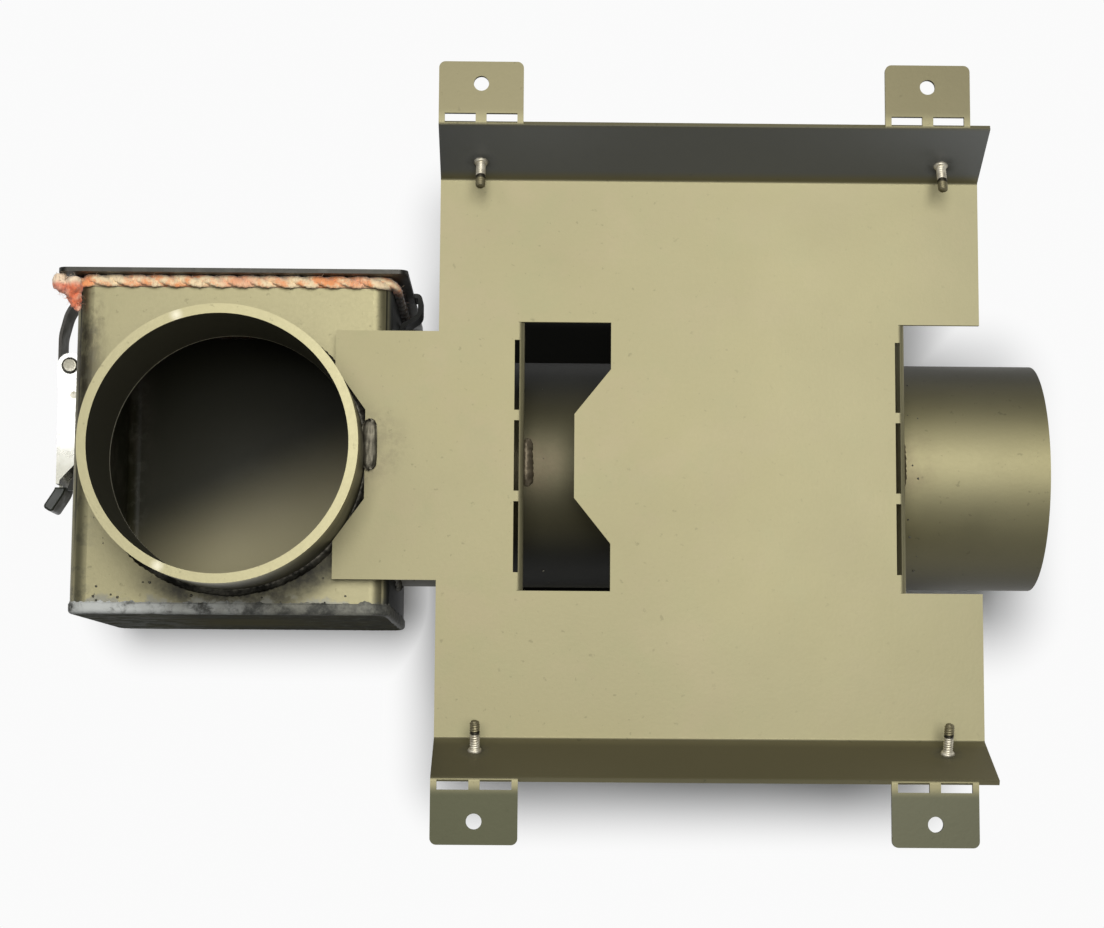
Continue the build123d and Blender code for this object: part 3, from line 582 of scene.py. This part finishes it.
def square_path(half, corner, height):
    """A rounded square round the pipe's axis in the plane y = height, from the middle of the left side."""
    side = 2 * (half - corner)
    quarter = side + corner * math.pi / 2

    def path(share):
        run = (share % 1.0) * 4 * quarter
        corner_count, run = divmod(run, quarter)
        if run < side:
            spot = Vector((-half, 0, run - side / 2))
            outward = Vector((-1, 0, 0))
        else:
            turn = (run - side) / corner
            outward = Vector((-math.cos(turn), 0, math.sin(turn)))
            spot = Vector((-half + corner, 0, side / 2)) + outward * corner
        spin = Matrix.Rotation(corner_count * math.pi / 2, 3, "Y")
        outward = spin @ outward
        spot = spin @ spot + Vector((0, height, -PIPE_DEPTH))
        return spot, Vector((0, 1, 0)), outward

    return path, 4 * quarter


def blob(bm, place, radius, seed, flat, cuts, rough):
    """A small lump of metal."""
    made = bmesh.ops.create_icosphere(bm, subdivisions=cuts, radius=radius)["verts"]
    for vert in made:
        vert.co *= 1 + rough * noise.noise(vert.co / radius * 1.3 + Vector((seed, seed * 2.3, 0)))
        vert.co.z *= flat
    bmesh.ops.translate(bm, verts=made, vec=place)
    return made


# Settings


class VentWeldSettings(PropertyGroup):
    collar_bead: FloatProperty(
        name="Collar bead", description="Size of the bead round the collar",
        default=2.9 * MM, min=0.001, max=0.004, unit="LENGTH")
    pipe_bead: FloatProperty(
        name="Pipe bead", description="Size of the bead round the pipe",
        default=2.9 * MM, min=0.001, max=0.004, unit="LENGTH")
    floor_bead: FloatProperty(
        name="Floor bead", description="How far the floor's bead stands off the box",
        default=0.62 * MM, min=0.0004, max=0.0012, unit="LENGTH")
    ripple: FloatProperty(
        name="Ripple", description="Distance between two ripples of a bead",
        default=2.1 * MM, min=0.001, max=0.004, unit="LENGTH")
    spatter_count: IntProperty(
        name="Spatter", description="Number of spatter drops near the welds",
        default=70, min=0, max=400)


class VentRopeSettings(PropertyGroup):
    lay: FloatProperty(
        name="Lay", description="Length of one full twist of the rope",
        default=21.0 * MM, min=0.01, max=0.05, unit="LENGTH")
    strand_radius: FloatProperty(
        name="Strand radius", description="Radius of one of the three strands",
        default=1.5 * MM, min=0.0005, max=0.0019, unit="LENGTH")
    fibre_count: IntProperty(
        name="Loose fibres", description="Number of loose fibres on the rope",
        default=420, min=0, max=2000)
    cream: FloatVectorProperty(
        name="Cream", description="Colour of the clean yarn",
        default=(1.0, 0.80, 0.50), min=0, max=1, subtype="COLOR")
    orange: FloatVectorProperty(
        name="Orange", description="Colour of the stained yarn",
        default=(0.95, 0.38, 0.15), min=0, max=1, subtype="COLOR")
    pink: FloatVectorProperty(
        name="Pink", description="Colour of the blushed yarn",
        default=(0.96, 0.50, 0.30), min=0, max=1, subtype="COLOR")


class VentStudSettings(PropertyGroup):
    radius: FloatProperty(
        name="Thread radius", description="Outer radius of the stud's thread",
        default=1.6 * MM, min=0.001, max=0.002, unit="LENGTH")
    length: FloatProperty(
        name="Length", description="Length of the stud off the flange",
        default=10.0 * MM, min=0.004, max=0.0101, unit="LENGTH")
    pitch: FloatProperty(
        name="Pitch", description="Distance between two threads",
        default=0.8 * MM, min=0.0004, max=0.001, unit="LENGTH")


class VentSteelSettings(PropertyGroup):
    sheet_colour: FloatVectorProperty(
        name="Sheet", description="Colour of the folded plate",
        default=(0.275, 0.250, 0.146), min=0, max=1, subtype="COLOR")
    tube_colour: FloatVectorProperty(
        name="Tube", description="Colour of the box, collar and pipe",
        default=(0.240, 0.219, 0.128), min=0, max=1, subtype="COLOR")
    edge_bevel: FloatProperty(
        name="Edge", description="Width of the broken edges",
        default=0.18 * MM, min=0, max=0.0005, unit="LENGTH")


class VentStudioSettings(PropertyGroup):
    lens: FloatProperty(
        name="Lens", description="Focal length on a 36 mm sensor",
        default=78.26, min=20, max=200)
    key_power: FloatProperty(
        name="Main softbox", description="Power of the softbox over the part",
        default=15.0, min=0, max=200, unit="POWER")
    fill_power: FloatProperty(
        name="Side softbox", description="Power of the softbox at the upper left",
        default=1.6, min=0, max=200, unit="POWER")
    floor_colour: FloatVectorProperty(
        name="Floor", description="Colour of the floor",
        default=(0.92, 0.92, 0.92), min=0, max=1, subtype="COLOR")


# Operators


class VENT_OT_steel(Operator):
    """Give the folded plate, tubes, lid and latch their finishes and broken edges"""
    bl_idname = "vent.steel"
    bl_label = "Steel finishes"

    def execute(self, context):
        settings = context.scene.vent_steel
        sheet = tuple(settings.sheet_colour)
        tube = tuple(settings.tube_colour)
        finishes = {
            "mounting_plate": steel("Folded sheet", sheet, 0.54, 0.75, 0.03, plate_marks),
            "flue_box": steel("Box tube", tube, 0.48, 0.8, 0.10, tube_marks),
            "stove_collar": steel("Collar tube", tube, 0.42, 0.85, 0.08, collar_marks),
            # Painted light: the pipe's tone is the tube's made brighter.
            "flue_pipe": steel("Pipe", tuple(Vector(tube) * 1.35), 0.56, 0.85, 0.08, pipe_marks),
            # Painted shade: the box floor's tone is the tube's made darker, on a downward face.
            "box_floor": steel("Box floor", tuple(Vector(tube) * 0.7), 0.5, 0.03, 0.15, floor_marks, 0.0),
            "lid_plate": dark_finish("Scaled lid", (0.036, 0.034, 0.028)),
            # Near black: blackened steel, partly painted shade of the box's right side.
            "lid_keeper": dark_finish("Keeper", (0.014, 0.014, 0.012), 0.55),
            "latch_claw": dark_finish("Spring strip", (0.030, 0.028, 0.024), 0.4),
            # Near black: dark metal, partly painted shade under the lever.
            "latch_base": dark_finish("Latch base", (0.018, 0.018, 0.015), 0.5),
            "finger_grip": grip_finish(),
            "latch_lever": bright_finish(
                "Bright zinc plate", (0.50, 0.495, 0.46), (0.66, 0.66, 0.64), (0.25, 0.245, 0.205)),
        }
        rivets = bright_finish("Rivet steel", (0.20, 0.19, 0.15), (0.44, 0.42, 0.36))
        for name in ("keeper_rivet", "base_rivets", "pivot_pin", "claw_pin"):
            finishes[name] = rivets
        for name, material in finishes.items():
            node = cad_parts[name]
            node.data.materials.clear()
            node.data.materials.append(material)
            edge = node.modifiers.new("Broken edges", "BEVEL")
            edge.width = settings.edge_bevel
            edge.segments = 2
            edge.limit_method = "ANGLE"
            edge.angle_limit = math.radians(50)
        return {"FINISHED"}


class VENT_OT_ring_welds(Operator):
    """Lay the rippled beads round the collar, the pipe and the box floor"""
    bl_idname = "vent.ring_welds"
    bl_label = "Ring welds"

    def execute(self, context):
        settings = context.scene.vent_welds
        metal = weld_finish("Ring beads", (0.028, 0.026, 0.021), (0.15, 0.14, 0.11))
        along_x, along_y, along_z = Vector((1, 0, 0)), Vector((0, 1, 0)), Vector((0, 0, 1))
        rings = (
            ("collar_weld", Vector((0, 0, BOX_FRONT)), along_x, along_y, COLLAR_R, settings.collar_bead),
            ("pipe_weld", Vector((BOX_HALF, 0, -PIPE_DEPTH)), along_y, along_z, PIPE_R, settings.pipe_bead),
        )
        for seed, (node, centre, first, second, radius, size) in enumerate(rings):
            length = math.tau * (radius + size / 2)
            bm = straight_bead(length, size * 0.72, size * 0.62, seed * 7.3, wave=settings.ripple)
            path = circle_path(centre, first, second, radius, math.radians(45))
            wrap(bm, length, path)
            normal = first.cross(second)
            wall = centre.dot(normal)
            for vert in bm.verts:
                below = wall - vert.co.dot(normal)
                if below > -HAIR:
                    vert.co += normal * (below + HAIR)
            new_piece(node + "_bead", bm, metal, "adapter", [node])
        path, length = square_path(BOX_HALF, BOX_CORNER, BOX_FLOOR - 0.1 * MM)
        dross = weld_finish("Floor bead", (0.075, 0.075, 0.066), (0.27, 0.265, 0.22), (0.56, 0.57, 0.54), 0.05, 0.02)
        bm = straight_bead(length, 1.9 * MM, settings.floor_bead, 31.0, wave=settings.ripple * 1.6)
        for vert in bm.verts:
            here = vert.co.x
            if vert.co.y > 0:
                wide = 0.55 * noise.noise(Vector((here * 200, 3.0, 0)))
                fine = 0.3 * noise.noise(Vector((here * 700, 8.0, 0)))
                vert.co.y *= 1.05 + wide + fine
                vert.co.z *= 0.8
            below = max(0.0, -vert.co.y - 0.7 * MM) / MM
            vert.co.y = max(vert.co.y, -1.95 * MM)
            vert.co.z -= (0.12 + 0.62 * below * below) * MM
        wrap(bm, length, path)
        new_piece("floor_weld_ragged_edge", bm, dross, "adapter")
        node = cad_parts["floor_weld"]
        node.data.materials.clear()
        node.data.materials.append(dross)
        return {"FINISHED"}


class VENT_OT_tack_welds(Operator):
    """Lay the short welds at the wing's notch and the two saddles"""
    bl_idname = "vent.tack_welds"
    bl_label = "Tack welds"

    def execute(self, context):
        tack = tack_finish("Wing tack", (0.085, 0.076, 0.056), (0.22, 0.20, 0.145))
        wing = bmesh.new()
        bmesh.ops.create_cube(wing, size=1.0)
        bmesh.ops.subdivide_edges(wing, edges=wing.edges[:], cuts=15, use_grid_fill=True)
        for vert in wing.verts:
            spot = vert.co.copy()
            full = 1 + 0.10 * noise.noise(spot * 4 + Vector((3, 0, 0))) + 0.05 * noise.noise(spot * 13)
            across, along = spot.x * 2, spot.y * 2
            outline = 1 - 0.14 * across * across * abs(along) ** 5
            crown = 1 - 0.35 * (abs(across) ** 3 + abs(along) ** 8) * max(0.0, spot.z * 2)
            dip = 1 - 0.12 * math.cos(along * 7.0) * (1 - abs(along))
            vert.co.x = WING_BEAD_X + across * 2.25 * MM * full * (1 - 0.22 * abs(along) ** 7)
            vert.co.y = along * 8.0 * MM * full * outline + WING_BEAD_UP
            vert.co.z = (0.02 + max(0.0, spot.z + 0.5) * 2.2 * full * crown * dip) * MM
            radial = math.hypot(vert.co.x, vert.co.y)
            if radial < COLLAR_R + HAIR:
                vert.co.x *= (COLLAR_R + HAIR) / radial
                vert.co.y *= (COLLAR_R + HAIR) / radial
        new_piece("wing_weld_bead", wing, tack, "adapter", ["wing_weld"])
        browned = tack_finish("Saddle tack", (0.13, 0.105, 0.072), (0.24, 0.20, 0.135))
        half = 7.9 * MM
        for node, face_x, seed in zip(("middle_saddle_weld", "end_saddle_weld"), SADDLE_FACES, (5.0, 8.0)):
            bm = straight_bead(2 * half, 2.3 * MM, 1.5 * MM, seed)
            for vert in bm.verts:
                along = vert.co.x - half
                taper = math.sqrt(max(0.0, 1 - abs(along / half) ** 6))
                side, crown = vert.co.y * taper, vert.co.z * taper
                lift = math.sqrt(PIPE_R ** 2 - along ** 2) - PIPE_DEPTH
                out = face_x + 1.2 * MM + (crown - side) * 0.7
                vert.co = Vector((out, along, lift + 0.6 * MM + (crown + side) * 0.7))
                vert.co.x = max(vert.co.x, face_x + HAIR)
            new_piece(node + "_bead", bm, browned, "adapter", [node])
        return {"FINISHED"}


class VENT_OT_spatter(Operator):
    """Scatter small spatter drops on the box and pipe near the welds"""
    bl_idname = "vent.spatter"
    bl_label = "Weld spatter"

    def execute(self, context):
        bm = bmesh.new()
        drops = random.Random(12)
        for index in range(context.scene.vent_welds.spatter_count):
            size = drops.uniform(0.18, 0.55) * MM
            if index % 3 == 0:
                turn = drops.uniform(0, math.tau)
                reach = COLLAR_R + drops.uniform(3.2, 7.0) * MM
                place = Vector((reach * math.cos(turn), reach * math.sin(turn), BOX_FRONT))
                if max(abs(place.x), abs(place.y)) > BOX_HALF - 7 * MM:
                    continue
            elif index % 3 == 1:
                place = Vector((drops.uniform(-43, 43) * MM, BOX_FLOOR + drops.uniform(1.8, 8.0) * MM, BOX_FRONT))
                if math.hypot(place.x, place.y) < COLLAR_R + 3.2 * MM:
                    continue
            else:
                turn = drops.uniform(0.2, math.pi - 0.2)
                along = drops.choice((54.5, 97.5, 218.5)) * MM + drops.uniform(0, 5.0) * MM
                place = Vector((along, PIPE_R * math.cos(turn), PIPE_R * math.sin(turn) - PIPE_DEPTH))
            blob(bm, place, size, index * 0.7, flat=0.8, cuts=1, rough=0.2)
        metal = weld_finish("Spatter", (0.05, 0.048, 0.04), (0.20, 0.19, 0.15))
        new_piece("weld_spatter", bm, metal, "adapter")
        return {"FINISHED"}


class VENT_OT_studs(Operator):
    """Cut the threads of the four weld studs and add the flash at their feet"""
    bl_idname = "vent.studs"
    bl_label = "Threaded studs"

    def execute(self, context):
        settings = context.scene.vent_studs
        metal = stud_finish()
        for end, x in STUD_X.items():
            for name, side in (("upper", 1), ("lower", -1)):
                bm = bmesh.new()
                first = bm.verts.new((settings.radius, 0, 0.05 * MM))
                last = bm.verts.new((settings.radius, 0, settings.length))
                line = bm.edges.new((first, last))
                bmesh.ops.subdivide_edges(bm, edges=[line], cuts=90)
                outline = bm.verts[:] + bm.edges[:]
                bmesh.ops.spin(
                    bm, geom=outline, cent=(0, 0, 0), axis=(0, 0, 1), dvec=(0, 0, 0), angle=math.tau, steps=28,
                    use_merge=True)
                open_edges = [edge for edge in bm.edges if edge.is_boundary]
                bmesh.ops.holes_fill(bm, edges=open_edges, sides=0)
                for vert in bm.verts:
                    turn = math.atan2(vert.co.y, vert.co.x) / math.tau
                    phase = (vert.co.z / settings.pitch - turn) % 1.0
                    depth = 0.36 * MM * (1 - abs(2 * phase - 1))
                    lead = max(0.0, vert.co.z - settings.length + 0.6 * MM)
                    radial = math.hypot(vert.co.x, vert.co.y)
                    wanted = settings.radius - depth * min(1.0, vert.co.z / (0.8 * MM)) - lead * 0.7
                    vert.co.x *= wanted / radial
                    vert.co.y *= wanted / radial
                flash = bmesh.ops.create_cone(
                    bm, cap_ends=True, segments=28, radius1=2.3 * MM, radius2=1.75 * MM, depth=0.7 * MM)
                for vert in flash["verts"]:
                    bump = 1 + 0.07 * noise.noise(vert.co * 1500 + Vector((x * 99, side, 0)))
                    vert.co.x *= bump
                    vert.co.y *= bump
                    vert.co.z += 0.37 * MM
                axis = Vector((0, -side * math.sin(FLANGE_ANGLE), math.cos(FLANGE_ANGLE)))
                turn = Vector((0, 0, 1)).rotation_difference(axis).to_matrix()
                bmesh.ops.rotate(bm, verts=bm.verts, cent=(0, 0, 0), matrix=turn)
                bmesh.ops.translate(bm, verts=bm.verts, vec=(x, side * STUD_FOOT_Y, STUD_FOOT_Z))
                stud = f"{name}_{end}"
                new_piece(stud + "_threaded_stud", bm, metal, "adapter", [stud + "_stud"])
        return {"FINISHED"}


class VENT_OT_rope(Operator):
    """Lay the three-strand rope under the lid, with its frayed ends at one front corner"""
    bl_idname = "vent.rope"
    bl_label = "Rope gasket"

    def execute(self, context):
        settings = context.scene.vent_rope
        cream, orange, pink = (tuple(getattr(settings, name)) for name in ("cream", "orange", "pink"))
        yarn = rope_finish("Rope yarn", cream, orange, pink, (0.16, 0.09, 0.05))
        fray = rope_finish(
            "Frayed yarn", (0.95, 0.50, 0.33), (0.84, 0.21, 0.09), (0.84, 0.28, 0.18), (0.26, 0.08, 0.04),
            (1.0, 0.78, 0.55))
        path, length = square_path(ROPE_LINE, BOX_CORNER, ROPE_MIDDLE)
        turns = round(length / settings.lay)
        steps = int(length / (0.7 * MM))
        bm = bmesh.new()
        for strand in range(3):
            part = bmesh.new()
            ring = bmesh.ops.create_circle(part, segments=12, radius=settings.strand_radius)["verts"]
            bmesh.ops.rotate(part, verts=ring, cent=(0, 0, 0), matrix=Matrix.Rotation(math.pi / 2, 3, "Y"))
            draw_out(part, part.verts[:] + part.edges[:], length, steps)
            for vert in part.verts:
                along = vert.co.x
                turn = math.tau * (turns * along / length + strand / 3)
                twist = math.atan2(vert.co.z, vert.co.y) + math.tau * along / (5.5 * MM)
                yarns = 1 + 0.10 * math.cos(3 * twist)
                wander = noise.noise(Vector((along * 55, strand * 5.0, 1.0)))
                fullness = (1 + 0.10 * noise.noise(Vector((along * 160, strand * 9.0, 7.0)))) * yarns
                vert.co.y = vert.co.y * fullness * 0.98 + math.cos(turn) * 0.95 * MM
                vert.co.z = vert.co.z * fullness * 1.12 + math.sin(turn) * 2.05 * MM + wander * 0.25 * MM
                vert.co.y = max(-1.93 * MM, min(1.93 * MM, vert.co.y))
                vert.co.y -= max(0.0, vert.co.z - 1.5 * MM) * 0.55
            wrap(part, length, path)
            holder = bpy.data.meshes.new("strand")
            part.to_mesh(holder)
            part.free()
            bm.from_mesh(holder)
            bpy.data.meshes.remove(holder)
        new_piece("twisted_rope", bm, yarn, "lid", ["rope_gasket"])
        self.fray(settings.fibre_count, fray, path)
        return {"FINISHED"}

    def fray(self, fibre_count, yarn, path):
        """The swollen, frayed ends at the left front corner and fibres along the rope."""
        bm = bmesh.new()
        tuft = random.Random(4)
        count = 20
        for index in range(count):
            down = index / (count - 1)
            spread = 1 - down
            right = -0.9 + 4.0 * down + tuft.uniform(-3.2, 3.2) * spread
            forward = tuft.uniform(-1.4, 0.6) - 0.8 * down
            offset = Vector((right, 1.0 - 8.6 * down, forward)) * MM
            size = (2.45 - 1.35 * down) * tuft.uniform(0.85, 1.15) * MM
            made = blob(bm, ROPE_CORNER + offset, size, index * 1.9, flat=1.0, cuts=3, rough=0.5)
            for vert in made:
                vert.co.y = min(vert.co.y, LID_UNDER - 0.06 * MM)
        new_piece("frayed_rope_ends", bm, yarn, "lid")
        bm = bmesh.new()
        for index in range(fibre_count):
            if index < fibre_count * 0.5:
                down = tuft.random() ** 1.5
                start = ROPE_CORNER + Vector((-0.9 + 4.0 * down, 1.2 - 7.6 * down, -0.8 * down)) * MM
                start += Vector([tuft.gauss(0, 1.9 - 1.2 * down) * MM for _ in range(3)])
                heading = Vector([tuft.gauss(0, 1) for _ in range(3)]).normalized()
            else:
                spot, up, outward = path(tuft.random())
                angle = tuft.uniform(-1.4, 0.9)
                heading = (outward * math.cos(angle) + up * math.sin(angle)).normalized()
                start = spot + outward * 3.2 * MM + up * tuft.uniform(-1.4, 1.3) * MM
            self.fibre(bm, tuft, start, heading)
        new_piece("loose_fibres", bm, yarn, "lid")

    def fibre(self, bm, tuft, start, heading):
        """One fine curling fibre: a three-sided tube drawn out in short steps."""
        ring = bmesh.ops.create_circle(bm, segments=3, radius=tuft.uniform(0.05, 0.1) * MM)["verts"]
        turn = Vector((0, 0, 1)).rotation_difference(heading).to_matrix()
        bmesh.ops.rotate(bm, verts=ring, cent=(0, 0, 0), matrix=turn)
        bmesh.ops.translate(bm, verts=ring, vec=start)
        edges = list({edge for vert in ring for edge in vert.link_edges})
        for _ in range(4):
            made = bmesh.ops.extrude_edge_only(bm, edges=edges)["geom"]
            verts = [part for part in made if isinstance(part, bmesh.types.BMVert)]
            edges = [part for part in made if isinstance(part, bmesh.types.BMEdge)]
            heading = (heading + Vector([tuft.gauss(0, 0.35) for _ in range(3)])).normalized()
            bmesh.ops.translate(bm, verts=verts, vec=heading * tuft.uniform(0.3, 0.7) * MM)
            middle = sum((vert.co for vert in verts), Vector()) / len(verts)
            for vert in verts:
                vert.co = middle + (vert.co - middle) * 0.8
                vert.co.y = min(vert.co.y, LID_UNDER - 0.05 * MM)


class VENT_OT_studio(Operator):
    """Set the floor, softboxes, dim room and the camera at the photo's angle"""
    bl_idname = "vent.studio"
    bl_label = "Studio and camera"

    def execute(self, context):
        settings = context.scene.vent_studio
        scene = context.scene
        low = CAD_BOX[0][2]
        bm = bmesh.new()
        bmesh.ops.create_grid(bm, x_segments=2, y_segments=2, size=3.0)
        bmesh.ops.translate(bm, verts=bm.verts, vec=(0.1, 0, low - 0.0003))
        mesh = bpy.data.meshes.new("Floor")
        bm.to_mesh(mesh)
        bm.free()
        mesh.materials.append(floor_paint(tuple(settings.floor_colour)))
        floor = bpy.data.objects.new("Floor", mesh)
        scene.collection.objects.link(floor)
        lamps = [
            self.softbox(scene, "Main softbox", (0.16, 0.20, 1.30), (0.1, 0, 0), 0.80, settings.key_power),
            self.softbox(scene, "Side softbox", (-0.55, 0.35, 1.05), (0.0, 0, 0), 0.4, settings.fill_power),
        ]
        world = bpy.data.worlds.new("Room")
        world.use_nodes = True
        world.node_tree.nodes["Background"].inputs["Color"].default_value = (0.9, 0.94, 1.0, 1)
        world.node_tree.nodes["Background"].inputs["Strength"].default_value = 0.12
        scene.world = world
        lens = bpy.data.cameras.new("Photo camera")
        lens.sensor_width = 36.0
        lens.lens = settings.lens
        lens.clip_start = 0.01
        camera = bpy.data.objects.new("Photo camera", lens)
        scene.collection.objects.link(camera)
        turn = Matrix.Identity(4)
        for letter, angle in CAMERA_TURN:
            turn = turn @ Matrix.Rotation(angle, 4, letter)
        camera.matrix_world = Matrix.Translation(CAMERA_PLACE) @ turn
        scene.camera = camera
        scene.view_settings.view_transform = "Standard"
        return {"FINISHED"}

    def softbox(self, scene, name, place, target, size, power):
        """A square area lamp aimed at a point."""
        data = bpy.data.lights.new(name, "AREA")
        data.shape = "SQUARE"
        data.size = size
        data.energy = power
        lamp = bpy.data.objects.new(name, data)
        heading = Vector(target) - Vector(place)
        lamp.matrix_world = Matrix.Translation(place) @ heading.to_track_quat("-Z", "Y").to_matrix().to_4x4()
        scene.collection.objects.link(lamp)
        return lamp


class VENT_PT_panel(Panel):
    """Lists the dressing steps and their sizes"""
    bl_idname = "VENT_PT_panel"
    bl_label = "Vent Adapter"
    bl_space_type = "VIEW_3D"
    bl_region_type = "UI"
    bl_category = "Vent Adapter"

    def draw(self, context):
        for group, steps in LAYOUT.items():
            box = self.layout.box()
            settings = getattr(context.scene, group)
            for name in settings.bl_rna.properties.keys():
                if name not in {"rna_type", "name"}:
                    box.prop(settings, name)
            for step in steps:
                box.operator(step)


SETTINGS = {
    "vent_steel": VentSteelSettings,
    "vent_welds": VentWeldSettings,
    "vent_studs": VentStudSettings,
    "vent_rope": VentRopeSettings,
    "vent_studio": VentStudioSettings,
}
LAYOUT = {
    "vent_steel": ["vent.steel"],
    "vent_welds": ["vent.ring_welds", "vent.tack_welds", "vent.spatter"],
    "vent_studs": ["vent.studs"],
    "vent_rope": ["vent.rope"],
    "vent_studio": ["vent.studio"],
}
OPERATORS = (
    VENT_OT_steel, VENT_OT_ring_welds, VENT_OT_tack_welds, VENT_OT_spatter, VENT_OT_studs, VENT_OT_rope,
    VENT_OT_studio,
)


def register():
    for group in SETTINGS.values():
        bpy.utils.register_class(group)
    for operator in (*OPERATORS, VENT_PT_panel):
        bpy.utils.register_class(operator)
    for name, group in SETTINGS.items():
        setattr(bpy.types.Scene, name, PointerProperty(type=group))


def unregister():
    for name in SETTINGS:
        delattr(bpy.types.Scene, name)
    for operator in (VENT_PT_panel, *reversed(OPERATORS)):
        bpy.utils.unregister_class(operator)
    for group in reversed(SETTINGS.values()):
        bpy.utils.unregister_class(group)


def main():
    register()
    for steps in LAYOUT.values():
        for step in steps:
            group, name = step.split(".")
            getattr(getattr(bpy.ops, group), name)()


if __name__ == "__main__":
    main()
